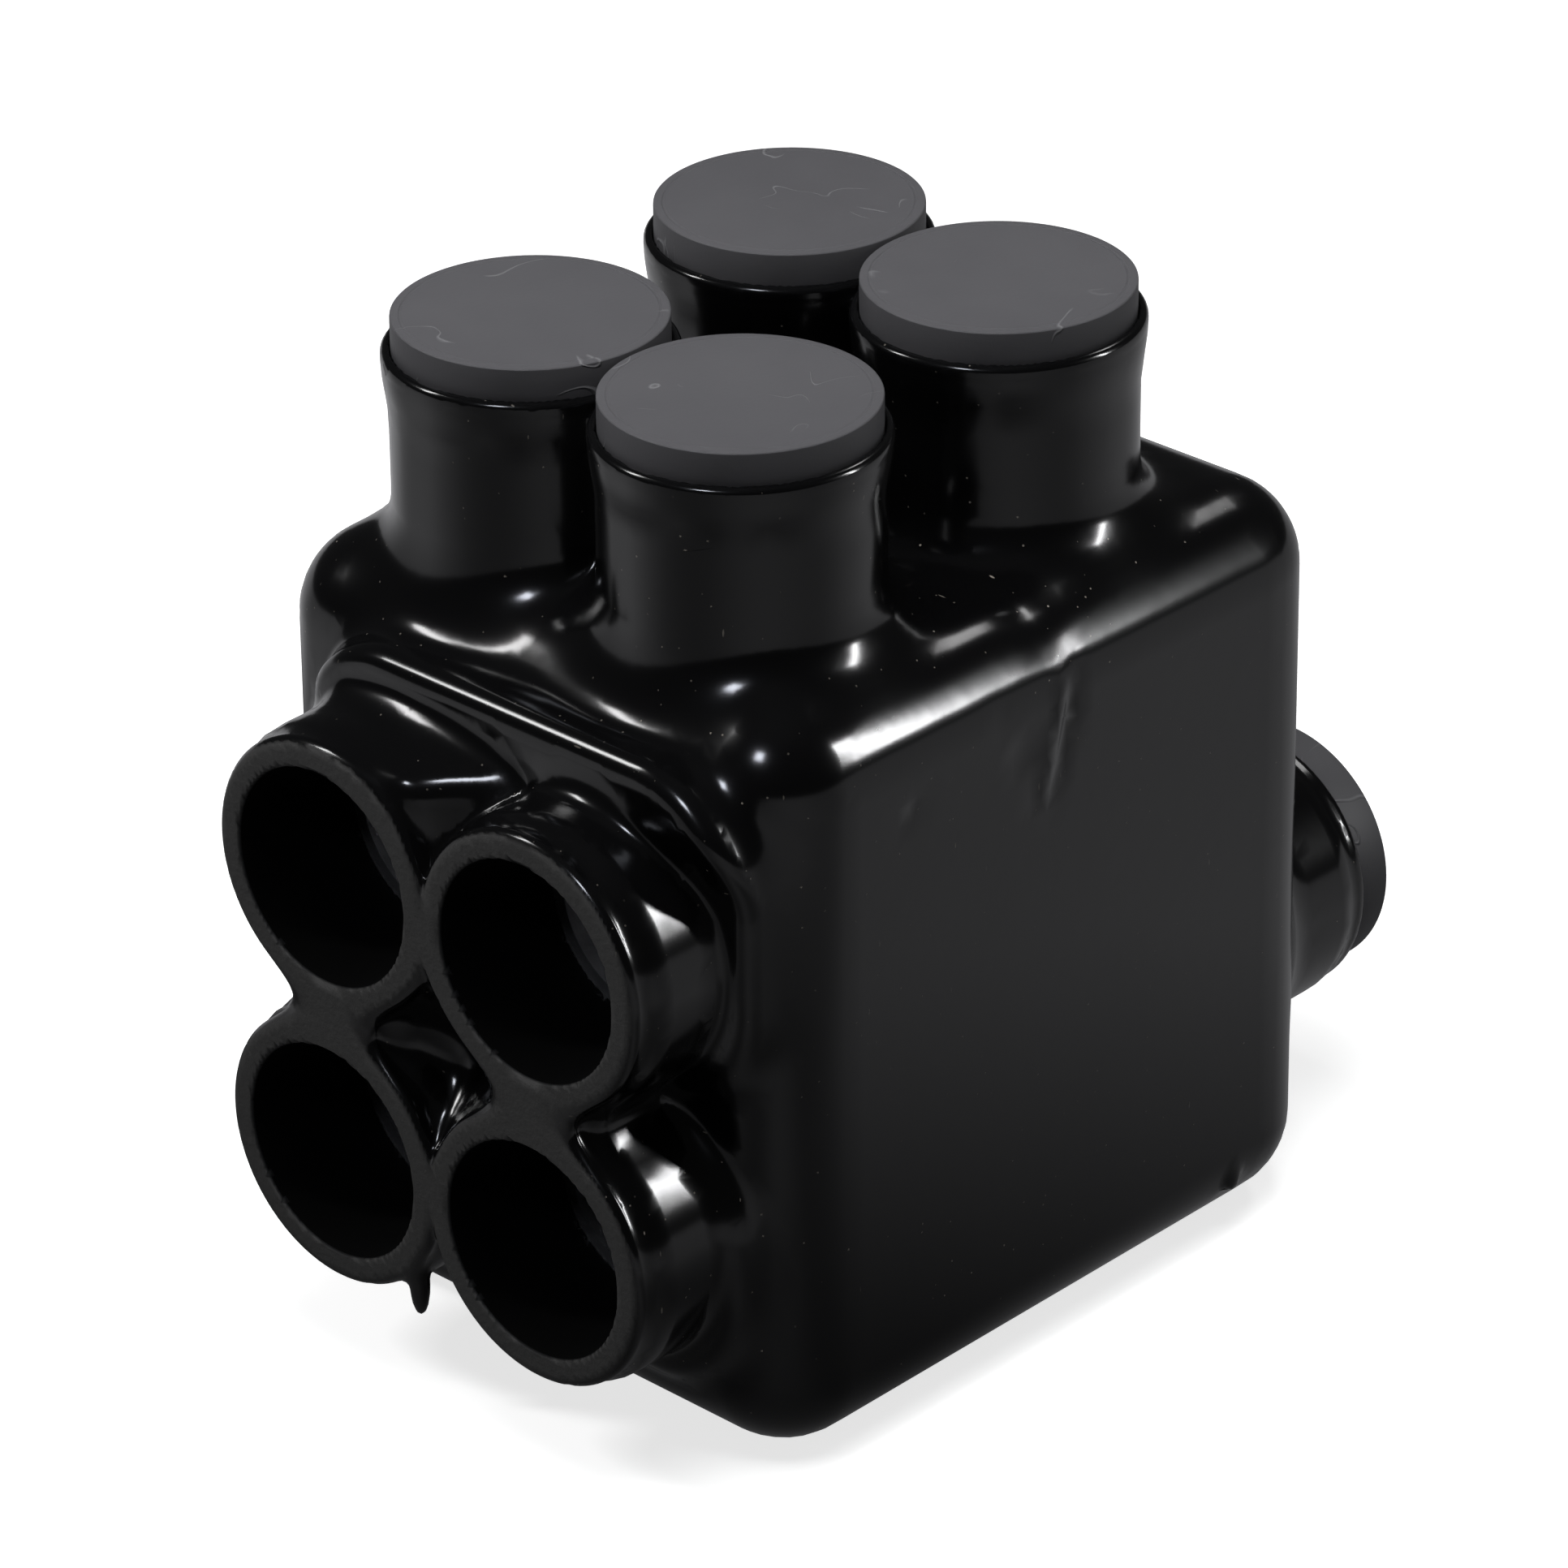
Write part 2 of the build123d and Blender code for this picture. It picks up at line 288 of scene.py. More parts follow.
# ---------------------------------------------------------------- set screws
# Aluminium set screws with a rolled thread, a hexagon socket and a cup point. Each is screwed
# down its tower with a key, and is parked just above its bore.
column_x, rear_plug_end = {}, {}
for side in columns:
    low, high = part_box(f"rear_port_plug_{side}")
    column_x[side] = (low.x + high.x) / 2 / mm
    rear_plug_end[side] = high.y / mm
screw_crest, screw_root, screw_pitch = 10.95, 9.95, 1.8
thread_start, thread_steps = 0.15, 9    # rings start a little above the tip, nine to a turn of thread
tip_radius, top_radius = 8.0, 9.5       # where the chamfers at the two ends start
cup_radius, cup_depth = 6.6, 2.2
screw_hex, screw_socket, drill_point = 9.53, 16.0, 1.6
socket_edge = 0.5
screw_sides = 96


def ring_mesh(name, rings, sharp_angle):
    """A closed mesh through rings of points; a first and a last ring of zero size close it."""
    rings = np.asarray(rings, float)
    count, around = rings.shape[:2]
    inner = rings[1:-1].reshape(-1, 3)
    points = np.vstack([rings[0].mean(0), inner, rings[-1].mean(0)])
    last = len(points) - 1
    faces = []
    for i in range(around):
        j = (i + 1) % around
        faces.append((0, 1 + j, 1 + i))
        for k in range(count - 3):
            a, b = 1 + k * around, 1 + (k + 1) * around
            faces.append((a + i, a + j, b + j, b + i))
        a = 1 + (count - 3) * around
        faces.append((a + i, a + j, last))
    mesh = bpy.data.meshes.new(name)
    mesh.from_pydata((points * mm).tolist(), [], faces)
    mesh.update()
    mesh.shade_smooth()
    mesh.set_sharp_from_angle(angle=math.radians(sharp_angle))
    return mesh


def hand_over(piece_mesh, body, node_names):
    """Puts a finished mesh on its body in the place of its plain solids."""
    piece = bpy.data.objects.new(piece_mesh.name, piece_mesh)
    bpy.context.scene.collection.objects.link(piece)
    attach(piece, body)
    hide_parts(*node_names)


def set_screw_mesh(name, x, y, low_z, high_z):
    """The screw, built ring by ring from the cup at its tip up, and down into its socket."""
    turn = np.linspace(0, 2 * np.pi, screw_sides, endpoint=False)
    length = high_z - low_z
    hexagon = screw_hex / 2 / np.cos((turn + np.pi / 6) % (np.pi / 3) - np.pi / 6)

    def ring(radius, height):
        return np.stack([x + radius * np.cos(turn), y + radius * np.sin(turn), low_z + height + 0 * turn], 1)

    rings = [ring(0 * turn, cup_depth), ring(1.0, cup_depth), ring(cup_radius, 0.35)]
    rings += [ring(cup_radius + 0.4, 0.0), ring(tip_radius - 0.1, 0.0)]
    for height in np.arange(thread_start, length - thread_start, screw_pitch / thread_steps):
        tooth = np.abs(((height / screw_pitch - turn / (2 * np.pi)) % 1) * 2 - 1)
        thread = screw_root + (screw_crest - screw_root) * np.clip(tooth * 1.25 - 0.12, 0, 1)
        chamfer = min(tip_radius + height, top_radius + length - height)
        rings.append(ring(np.minimum(thread, chamfer), height))
    floor = length - screw_socket
    rings += [ring(top_radius - 0.1, length), ring(hexagon + socket_edge, length)]
    rings += [ring(hexagon, length - 0.4), ring(hexagon, floor)]
    rings += [ring(1.0, floor - drill_point), ring(0 * turn, floor - drill_point)]
    return ring_mesh(name, rings, 35)


screw_metal = machined_metal("machined_aluminium", (0.72, 0.72, 0.73), 0.28)
for row in tower_rows:
    for side in columns:
        name = f"set_screw_{row}_{side}"
        low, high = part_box(name)
        mesh = set_screw_mesh(f"{name}_threaded", column_x[side], tower_y[row], low.z / mm, high.z / mm)
        mesh.materials.append(screw_metal)
        hand_over(mesh, name, [name])

# ---------------------------------------------------------------- insulating jacket
# One thick skin of black plastisol, grown on the hot block by dipping it. Sleeves form on pins
# set in the bores and screw holes; the front ports are then trimmed flush with a knife.
jacket_nodes = ["jacket_body"]
jacket_nodes += [f"screw_tower_{row}_{side}" for row in tower_rows for side in columns]
jacket_nodes += [f"front_sleeve_{level}_{side}" for level in ("upper", "lower") for side in columns]
jacket_nodes += [f"rear_sleeve_{side}" for side in columns]

body_half = (41.75, 47.8, 47.95)
body_middle_z = 48.2
body_edge = 11.0
body_flare = 0.25                       # the skin runs a little thicker towards the bottom
fold_top_z, fold_height = 93, 22.5      # the pinched fold in the right side, a leaning V
left_fold_top_y, left_fold_run = -15.2, 10.6
right_fold_top_y, right_fold_run = 0.8, 5.0
body_drip = ((41.5, 31.0, 7.6), (0.6, 1.0, 1.5))        # middle and radii

tower_waist = 16.3
tower_rim = 17.1
tower_rim_z = plug_top_z - 3.8
tower_root_z = 60
tower_seat = 16.12                      # room for a plug's head
tower_seat_z = tower_rim_z - 2.7
web_top_z = tower_rim_z - 1.5

low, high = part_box("rear_port_plug_left")
lower_port_z = (low.z + high.z) / 2 / mm
mouths = {mount["name"]: mount["pos_m"] for mount in frame["record"]["mounts"]}
upper_port_z = mouths["upper_left_conductor_bore"][2] / mm
port_middle_z = (upper_port_z + lower_port_z) / 2
sleeve_bore = 13.5
port_waist = 16.7
port_rim_y = -63.25
port_root_y = -40
rear_rim_y = rear_plug_end["left"] - 5.5
rear_root_y = 40
rear_seat_y = rear_rim_y - 1.0
pit_rim, pit_depth = 1.6, 6.4           # the pit between the sleeves, at its rim and further in the middle
pit_middle_z = 45.5
upper_pad = (3.8, 69.0, 34.2, 21.3, 14.5)               # middle x and z, half width and height, corner
lower_pad = (0.0, 26.5, 36.3, 17.0, 15.0)
upper_pad_y, upper_pad_rise, lower_pad_y = -49.6, 3.4, -50.3
shelf_left_x, shelf_right_x, shelf_widening = -24, -3.4, 11.5
shelf_top_z, shelf_rise, shelf_half_height = 82.0, 3.6, 7
shelf_lip_y = -61.8
port_drip = ((-4.1, -61.4, 15.6), (1.3, 1.1, 4.1))

block_space = (39.0, 45.0, 45.0)
block_space_z = 48.2
block_space_edge = 9.0

web_fillet, pit_fillet, front_fillet = 4.0, 3.6, 3.2    # how wide the skin rounds each inside corner
rear_fillet, tower_fillet = 7.0, 6.5
opening_edge = 0.3


def soft_join(a, b, width):
    """Two shapes run together like liquid plastisol, with a fillet about as wide as given."""
    share = np.clip(0.5 + 0.5 * (b - a) / width, 0, 1)
    return b + (a - b) * share - width * share * (1 - share)


def soft_cut(a, b, width):
    """Shape a with shape b taken out of it, the new edge rounded off."""
    return -soft_join(-a, b, width)


def hump(t, middle, half_width):
    """A smooth bump of height 1 about a middle."""
    return np.exp(-(((t - middle) / half_width) ** 2))


def step_up(t, start, end):
    """0 before start, 1 after end, smooth between."""
    s = np.clip((t - start) / (end - start), 0, 1)
    return s * s * (3 - 2 * s)


def slab(x, y, z, half, edge):
    """A box about the origin with every edge rounded."""
    qx, qy, qz = np.abs(x) - half[0] + edge, np.abs(y) - half[1] + edge, np.abs(z) - half[2] + edge
    outside = np.sqrt(np.maximum(qx, 0) ** 2 + np.maximum(qy, 0) ** 2 + np.maximum(qz, 0) ** 2)
    return outside + np.minimum(np.maximum(qx, np.maximum(qy, qz)), 0) - edge


def plate(u, v, half_u, half_v, corner):
    """A flat outline with rounded corners."""
    qu, qv = np.abs(u) - half_u + corner, np.abs(v) - half_v + corner
    return np.hypot(np.maximum(qu, 0), np.maximum(qv, 0)) + np.minimum(np.maximum(qu, qv), 0) - corner


def capped(radial, along, edge):
    """A round shape ended by a flat face, with the rim rounded."""
    a, b = radial + edge, along + edge
    return np.hypot(np.maximum(a, 0), np.maximum(b, 0)) + np.minimum(np.maximum(a, b), 0) - edge


def lump(x, y, z, middle, radii):
    """An egg-shaped lump."""
    px, py, pz = (x - middle[0]) / radii[0], (y - middle[1]) / radii[1], (z - middle[2]) / radii[2]
    reach = np.sqrt(px ** 2 + py ** 2 + pz ** 2)
    return (reach - 1) * min(radii)


def pinched_fold(x, y, z):
    """How deep the leaning fold is pinched into the right side, under the gap between the towers."""
    down = np.clip((fold_top_z - z) / fold_height, 0, 1)
    left_y = left_fold_top_y + left_fold_run * down ** 0.75
    right_y = right_fold_top_y - right_fold_run * down ** 1.4
    creases = 0.30 * hump(y, left_y, 1.3) + 0.55 * hump(y, right_y + 0.9, 1.5)
    ridge = 0.42 * hump(y, right_y - 1.1, 1.1)
    inside = 0.14 * step_up(y, left_y, left_y + 3) * step_up(-y, -right_y, 3 - right_y)
    fade = (1 - down) ** 0.6 * step_up(x, 33, 41) * step_up(z, 69.5, 74) * step_up(-z, -90, -82)
    return fade * (creases + inside - ridge)


def body_shape(x, y, z):
    """The dipped block, with the pinched fold in its right side and a drip left on it."""
    spread = body_flare * (body_middle_z - z) / body_middle_z
    skin = slab(x, y, z - body_middle_z, body_half, body_edge) - spread
    swell = 0.2 * hump(y, -28, 16) * hump(z, 93, 12)
    notch = 0.8 * hump(y, -1.5, 3.5) * hump(z, 96, 4) * step_up(x, 20, 36)
    return soft_join(skin - swell + notch + pinched_fold(x, y, z), lump(x, y, z, *body_drip), 1.0)


def towers_shape(x, y, z, row):
    """A pair of screw towers and the skin that bridges them."""
    flare = (tower_rim - tower_waist) * step_up(z, tower_rim_z - 9, tower_rim_z - 2)
    flare = flare + 0.12 * hump(z, tower_rim_z - 1.2, 0.9)
    ends, fused = None, None
    for side in columns:
        reach = np.hypot(x - column_x[side], y - tower_y[row])
        tower = capped(reach - tower_waist - flare, z - tower_rim_z, 0.75)
        shaft = reach - tower_waist - 0.6 * flare
        fused = shaft if fused is None else soft_join(fused, shaft, web_fillet)
        ends = tower if ends is None else np.minimum(ends, tower)
    towers = soft_join(ends, capped(fused, z - web_top_z, 1.1), 0.7)
    return np.maximum(towers, tower_root_z - z)


def port_profile(y, rim_y, away, bead, bulge):
    """How the outside of a sleeve swells between the block and its trimmed rim."""
    inward = (y - rim_y) * away
    return port_waist + bead * hump(inward, 1.0, 1.5) + bulge * step_up(inward, 1.4, 4.4)


def front_ports_shape(x, y, z):
    """Four sleeves run together, trimmed flush, with a glossy pit left in the middle."""
    outer = port_profile(y, port_rim_y, 1, 0.35, 1.1)
    inward = np.clip((y - port_rim_y) / 12, 0, 1)
    rows = []
    for port_z in (upper_port_z, lower_port_z):
        pair = [np.hypot(x - column_x[side], z - port_z) - outer for side in columns]
        rows.append(soft_join(pair[0], pair[1], 0.8 + 5 * inward))
    sleeves = capped(soft_join(rows[0], rows[1], 8.5), port_rim_y - y, 1.2)
    sleeves = soft_join(sleeves, lump(x, y, z, *port_drip), 1.6)
    hollow = pit_depth * hump(x, 0, 8.5) * hump(z, pit_middle_z, 8.0)
    dimple = 0.9 * hump(x, -3, 3) * hump(z, pit_middle_z - 4.5, 3)
    pit_floor = port_rim_y + pit_rim + hollow + dimple
    fill = np.maximum(plate(x, z - port_middle_z, 13.0, 15.0, 3.0), pit_floor - y)
    root = y - port_root_y
    return soft_join(np.maximum(sleeves, root), np.maximum(fill, root), pit_fillet)


def hood_shape(x, y, z):
    """The thick pads of skin round the feet of the sleeves, where they leave the block's face."""
    outlines = []
    for middle_x, middle_z, half_x, half_z, corner in (upper_pad, lower_pad):
        outlines.append(plate(x - middle_x, z - middle_z, half_x, half_z, corner))
    upper_y = upper_pad_y - upper_pad_rise * step_up(z, 73, 85)
    upper = capped(outlines[0], upper_y - y, 2.6)
    lower = capped(outlines[1], lower_pad_y - y, 2.4)
    return np.maximum(soft_join(upper, lower, 2.0), y - port_root_y)


def apron_shape(x, y, z):
    """The shelf of thick skin slumped across the top of the left sleeve; it widens and rises
    towards the block."""
    back = step_up(y, -63, -51)
    right_x = shelf_right_x + shelf_widening * back
    half_width = (right_x - shelf_left_x) / 2
    top_z = shelf_top_z + shelf_rise * back ** 1.5 - 0.012 * (x + 10) ** 2
    across, down = x - right_x + half_width, z - top_z + shelf_half_height
    shelf = plate(across, down, half_width, shelf_half_height, 3.0)
    return np.maximum(capped(shelf, shelf_lip_y - y, 1.6), y - port_root_y)


def rear_ports_shape(x, y, z):
    """The two rear sleeves and the skin between them."""
    outer = port_profile(y, rear_rim_y, -1, 0.45, 0.9)
    pair = [np.hypot(x - column_x[side], z - lower_port_z) - outer for side in columns]
    sleeves = capped(soft_join(pair[0], pair[1], 3.0), y - rear_rim_y, 0.7)
    return np.maximum(sleeves, rear_root_y - y)


def jacket_outside(x, y, z):
    """The whole skin before the bores are opened."""
    skin = body_shape(x, y, z)
    front = soft_join(hood_shape(x, y, z), front_ports_shape(x, y, z), 2.0 + 2.2 * step_up(z, 76, 86))
    front = soft_join(front, apron_shape(x, y, z), 2.6)
    skin = soft_join(skin, front, front_fillet)
    skin = soft_join(skin, rear_ports_shape(x, y, z), rear_fillet)
    for row in tower_rows:
        skin = soft_join(skin, towers_shape(x, y, z, row), tower_fillet)
    front_dent = 0.45 * hump(x, 31.0, 2.2) * hump(z, 84.3, 2.8) * hump(y, -47.5, 3)
    side_dent = 0.25 * hump(y, -26.5, 1.5) * hump(z, 80.3, 1.3) * step_up(x, 36, 41)
    return np.maximum(skin + front_dent + side_dent, port_rim_y - y)


def jacket_wall(x, y, z):
    """The skin with the block's own space, the sleeve bores and the plugs' seats taken out."""
    wall = jacket_outside(x, y, z)
    wall = np.maximum(wall, -slab(x, y, z - block_space_z, block_space, block_space_edge))
    for side in columns:
        for row in tower_rows:
            reach = np.hypot(x - column_x[side], y - tower_y[row])
            wall = soft_cut(wall, np.maximum(reach - sleeve_bore, body_middle_z - z), opening_edge)
            wall = soft_cut(wall, np.maximum(reach - tower_seat, tower_seat_z - z), opening_edge)
        upper = np.hypot(x - column_x[side], z - upper_port_z)
        wall = soft_cut(wall, np.maximum(upper - sleeve_bore, y), opening_edge)
        lower = np.hypot(x - column_x[side], z - lower_port_z)
        wall = soft_cut(wall, lower - sleeve_bore + 0 * y, opening_edge)
        wall = soft_cut(wall, np.maximum(lower - tower_seat, rear_seat_y - y), opening_edge)
    return wall


def ruled(*spans):
    """Grid lines along an axis: (start, end, step) spans, one after another."""
    return np.concatenate([np.arange(start, end - 0.01, step) for start, end, step in spans])


def slopes(shape, points, reach=0.02):
    """The direction in which a shape's distance grows, at each point."""
    gradient = np.empty_like(points)
    for axis in range(3):
        ahead, behind = points.copy(), points.copy()
        ahead[:, axis] += reach
        behind[:, axis] -= reach
        gradient[:, axis] = (shape(*ahead.T) - shape(*behind.T)) / (2 * reach)
    return gradient


def skin_mesh(name, shape, lines_x, lines_y, lines_z, adaptivity):
    """A mesh of the surface where a shape's distance is zero, and its points, which are moved
    step by step exactly on to that surface."""
    background, tiny, least_slope = 10.0, 1e-9, 0.05
    rounds, longest_step = 3, 0.25
    values = shape(lines_x[:, None, None], lines_y[None, :, None], lines_z[None, None, :])
    grid = openvdb.FloatGrid(background)
    grid.copyFromArray(values.astype(np.float32))
    points, triangles, quads = grid.convertToPolygons(0.0, adaptivity)
    points = np.array(points, float)
    for axis, lines in enumerate((lines_x, lines_y, lines_z)):
        points[:, axis] = np.interp(points[:, axis], np.arange(len(lines)), lines)
    for _ in range(rounds):
        gradient = slopes(shape, points)
        length = np.maximum((gradient ** 2).sum(1), least_slope)
        shift = gradient * (shape(*points.T) / length)[:, None]
        size = np.maximum(np.linalg.norm(shift, axis=1), tiny)
        points -= shift * np.minimum(1, longest_step / size)[:, None]
    gradient = slopes(shape, points)
    normals = gradient / np.maximum(np.linalg.norm(gradient, axis=1), tiny)[:, None]
    corners = points[quads]
    facing = np.cross(corners[:, 2] - corners[:, 0], corners[:, 3] - corners[:, 1])
    if (facing * normals[quads[:, 0]]).sum() < 0:
        triangles, quads = triangles[:, ::-1], quads[:, ::-1]
    mesh = bpy.data.meshes.new(name)
    mesh.from_pydata((points * mm).tolist(), [], triangles.tolist() + quads.tolist())
    mesh.update()
    mesh.shade_smooth()
    mesh.normals_split_custom_set_from_vertices(normals.tolist())
    return mesh, points


pin_black = (0.002, 0.002, 0.002)


def plastisol():
    """Glossy black PVC with faint orange peel, dust and lint; dull grey where a knife has cut it
    and dull black where it formed on a pin."""
    material, tree, shader = new_material("black_plastisol", IOR=1.36)
    place = add_node(tree, "ShaderNodeTexCoord")
    peel = add_node(tree, "ShaderNodeTexNoise", Scale=330.0, Detail=1.0)
    waves = add_node(tree, "ShaderNodeTexNoise", Scale=45.0, Detail=1.0)
    peel_bump = add_node(tree, "ShaderNodeBump", Strength=0.035, Distance=0.0003)
    wave_bump = add_node(tree, "ShaderNodeBump", Strength=0.05, Distance=0.0015)
    wire(tree, place, "Object", peel, "Vector")
    wire(tree, place, "Object", waves, "Vector")
    wire(tree, peel, "Fac", peel_bump, "Height")
    wire(tree, waves, "Fac", wave_bump, "Height")
    wire(tree, wave_bump, "Normal", peel_bump, "Normal")

    grain = add_node(tree, "ShaderNodeTexNoise", Scale=1400.0, Detail=5.0)
    grain_bump = add_node(tree, "ShaderNodeBump", Strength=0.35, Distance=0.0003)
    wire(tree, place, "Object", grain, "Vector")
    wire(tree, grain, "Fac", grain_bump, "Height")

    cut = add_node(tree, "ShaderNodeAttribute", {"attribute_name": "knife_cut"})
    pin = add_node(tree, "ShaderNodeAttribute", {"attribute_name": "pin_side"})
    dull = add_node(tree, "ShaderNodeMath", {"operation": "MAXIMUM"})
    wire(tree, cut, "Fac", dull, 0)
    wire(tree, pin, "Fac", dull, 1)
    which_bump = add_node(tree, "ShaderNodeMix", {"data_type": "VECTOR"})
    wire(tree, dull, "Value", which_bump, "Factor")
    wire(tree, peel_bump, "Normal", which_bump, "A")
    wire(tree, grain_bump, "Normal", which_bump, "B")
    wire(tree, which_bump, "Result", shader, "Normal")

    patchy = add_node(tree, "ShaderNodeTexNoise", Scale=28.0, Detail=1.0)
    wire(tree, place, "Object", patchy, "Vector")
    dust = add_node(tree, "ShaderNodeMapRange", From_Min=0.40, From_Max=0.62, To_Min=0.25, To_Max=1.0)
    wire(tree, patchy, "Fac", dust, "Value")
    specks = None
    round_dust = (560.0, (1, 1, 1), (0, 0, 0), 0.085)
    upright_lint = (420.0, (1, 1, 0.22), (0.9, 0.4, 0.2), 0.05)
    level_lint = (400.0, (0.2, 1, 1), (0.3, 0.8, 1.1), 0.05)
    for scale, stretch, turned, size in (round_dust, upright_lint, level_lint):
        lie = add_node(tree, "ShaderNodeMapping", Scale=stretch, Rotation=turned)
        cells = add_node(tree, "ShaderNodeTexVoronoi", Scale=scale)
        spot = add_node(tree, "ShaderNodeMapRange", From_Min=size * 0.6, From_Max=size)
        spot.inputs["To Min"].default_value, spot.inputs["To Max"].default_value = 1, 0
        chance = add_node(tree, "ShaderNodeMapRange", From_Min=0.45, From_Max=0.75)
        speck = add_node(tree, "ShaderNodeMath", {"operation": "MULTIPLY"})
        wire(tree, place, "Object", lie, "Vector")
        wire(tree, lie, "Vector", cells, "Vector")
        wire(tree, cells, "Distance", spot, "Value")
        wire(tree, cells, "Color", chance, "Value")
        wire(tree, spot, "Result", speck, 0)
        wire(tree, chance, "Result", speck, 1)
        if specks:
            more = add_node(tree, "ShaderNodeMath", {"operation": "MAXIMUM"})
            wire(tree, specks, "Value", more, 0)
            wire(tree, speck, "Value", more, 1)
            speck = more
        specks = speck
    dusty = add_node(tree, "ShaderNodeMath", {"operation": "MULTIPLY"})
    wire(tree, specks, "Value", dusty, 0)
    wire(tree, dust, "Result", dusty, 1)

    skin_colour = blend_node(tree, start=(0.003, 0.003, 0.0033), end=(0.34, 0.31, 0.27))
    cut_colour = blend_node(tree, end=(0.055, 0.0545, 0.0535))
    pin_colour = blend_node(tree, end=pin_black)
    wire(tree, dusty, "Value", skin_colour, "Factor")
    wire(tree, cut, "Fac", cut_colour, "Factor")
    wire(tree, skin_colour, "Result", cut_colour, "A")
    wire(tree, pin, "Fac", pin_colour, "Factor")
    wire(tree, cut_colour, "Result", pin_colour, "A")
    wire(tree, pin_colour, "Result", shader, "Base Color")

    cut_rough = add_node(tree, "ShaderNodeMapRange", To_Min=0.16, To_Max=0.7)
    roughness = add_node(tree, "ShaderNodeMapRange")
    wire(tree, cut, "Fac", cut_rough, "Value")
    wire(tree, pin, "Fac", roughness, "Value")
    wire(tree, cut_rough, "Result", roughness, "To Min")
    wire(tree, roughness, "Result", shader, "Roughness")
    return material


def shaded_bore_lining():
    """The dull black inside of a sleeve, where the skin grew on a pin; its reflection is turned almost off,
    a painted shade that keeps the bore dark.
    """
    return new_material("shaded_bore_lining", Base_Color=(*pin_black, 1), Roughness=1.0, Specular_IOR_Level=0.05)[0]


def in_bores(points, middles, across, room):
    """Which points lie inside round bores with these middles, given as x and a place along the
    axis across: 1 for y, 2 for z."""
    reach = [np.hypot(points[:, 0] - x, points[:, across] - along) for x, along in middles]
    return np.min(reach, axis=0) < sleeve_bore + room


grid_x = ruled((-43.0, 43.5, 0.6))
grid_y = ruled(
    (-64.2, -61.0, 0.4), (-61.0, -44, 0.6), (-44, 34, 0.7), (34, 50, 1.0), (50, 61, 0.8), (61, 67, 0.5)
)
grid_z = ruled((-0.8, 16, 0.8), (16, 95, 0.65), (95, 113, 0.8), (113, 121.4, 0.4))
jacket_mesh, jacket_points = skin_mesh("jacket", jacket_wall, grid_x, grid_y, grid_z, 0.03)

towers = [(column_x[side], tower_y[row]) for side in columns for row in tower_rows]
lower_ports = [(column_x[side], lower_port_z) for side in columns]
ports = lower_ports + [(column_x[side], upper_port_z) for side in columns]
front_bore_y, rear_bore_y, tower_bore_z = -42, 42, 90   # the bores in the skin lie beyond these
knife_cut = step_up(-jacket_points[:, 1], -port_rim_y - 0.32, -port_rim_y - 0.06)
inside_port = in_bores(jacket_points, ports, 2, 0.25) & (jacket_points[:, 1] < front_bore_y)
inside_tower = in_bores(jacket_points, towers, 1, 0.25) & (jacket_points[:, 2] > tower_bore_z)
pin_side = (inside_port | inside_tower) * (1 - knife_cut)
for name, values in (("knife_cut", knife_cut), ("pin_side", pin_side)):
    jacket_mesh.attributes.new(name, "FLOAT", "POINT").data.foreach_set("value", values.astype(np.float32))

middles = np.empty(len(jacket_mesh.polygons) * 3)
jacket_mesh.polygons.foreach_get("center", middles)
middles = middles.reshape(-1, 3) / mm
# Faces down the bores get the lining with painted shade.
behind_cut = (middles[:, 1] > port_rim_y + 0.35) & (middles[:, 1] < front_bore_y)
lined = in_bores(middles, ports, 2, 0.12) & behind_cut
lined |= in_bores(middles, lower_ports, 2, 0.12) & (middles[:, 1] > rear_bore_y)
jacket_mesh.materials.append(plastisol())
jacket_mesh.materials.append(shaded_bore_lining())
jacket_mesh.polygons.foreach_set("material_index", lined.astype(np.int32))
hand_over(jacket_mesh, "housing", jacket_nodes)

# ---------------------------------------------------------------- rubber plugs
# Moulded rubber stoppers pushed into the screw towers and the unused rear ports: a flat head
# and a hollow barrel with three ribs that grip the sleeve.
plug_sides = 144
plug_head, plug_head_height = 16.0, 6.5
plug_barrel, plug_rib, plug_depth = 12.5, 13.4, 9.2
plug_ribs = 3
plug_hollow, plug_hollow_top = 9.4, 2.0


def plug_outline():
    """Half of a plug's section as (radius, height), from the middle of its top to the roof of its
    hollow; a shallow ring is moulded in the top, near the edge."""
    top, bottom = plug_head_height, -plug_depth
    points = [(0, top), (4.0, top), (10.0, top), (14.62, top - 0.02), (14.75, top - 0.09)]
    points += [(14.9, top - 0.10), (15.02, top - 0.03), (15.75, top - 0.03), (15.88, top - 0.07)]
    points += [(15.98, top - 0.18), (plug_head, top - 0.35), (plug_head, 0.35)]
    points += [(plug_head - 0.12, 0.08), (plug_head - 0.4, 0), (plug_barrel, 0)]
    for rib in reversed(range(plug_ribs)):
        low = bottom + rib * plug_depth / plug_ribs
        points += [(plug_barrel, low + 1.9), (plug_rib - 0.2, low + 1.3), (plug_rib, low + 1.0)]
        points += [(plug_rib, low + 0.7), (plug_rib - 0.3, low + 0.35), (plug_barrel, low + 0.1)]
    points += [(plug_barrel - 0.5, bottom), (plug_hollow + 0.4, bottom), (plug_hollow, bottom + 0.4)]
    points += [(plug_hollow, plug_hollow_top - 0.8), (plug_hollow - 0.8, plug_hollow_top)]
    return points + [(0, plug_hollow_top)]


def plug_mesh(name, seat, axis, across):
    """A plug turned about its axis, its head's underside at the seat."""
    turn = np.linspace(0, 2 * np.pi, plug_sides, endpoint=False)
    axis, across = np.array(axis, float), np.array(across, float)
    other = np.cross(axis, across)
    around = np.cos(turn)[:, None] * across + np.sin(turn)[:, None] * other
    rings = [np.array(seat) + radius * around + height * axis for radius, height in plug_outline()]
    return ring_mesh(name, rings[::-1], 28)


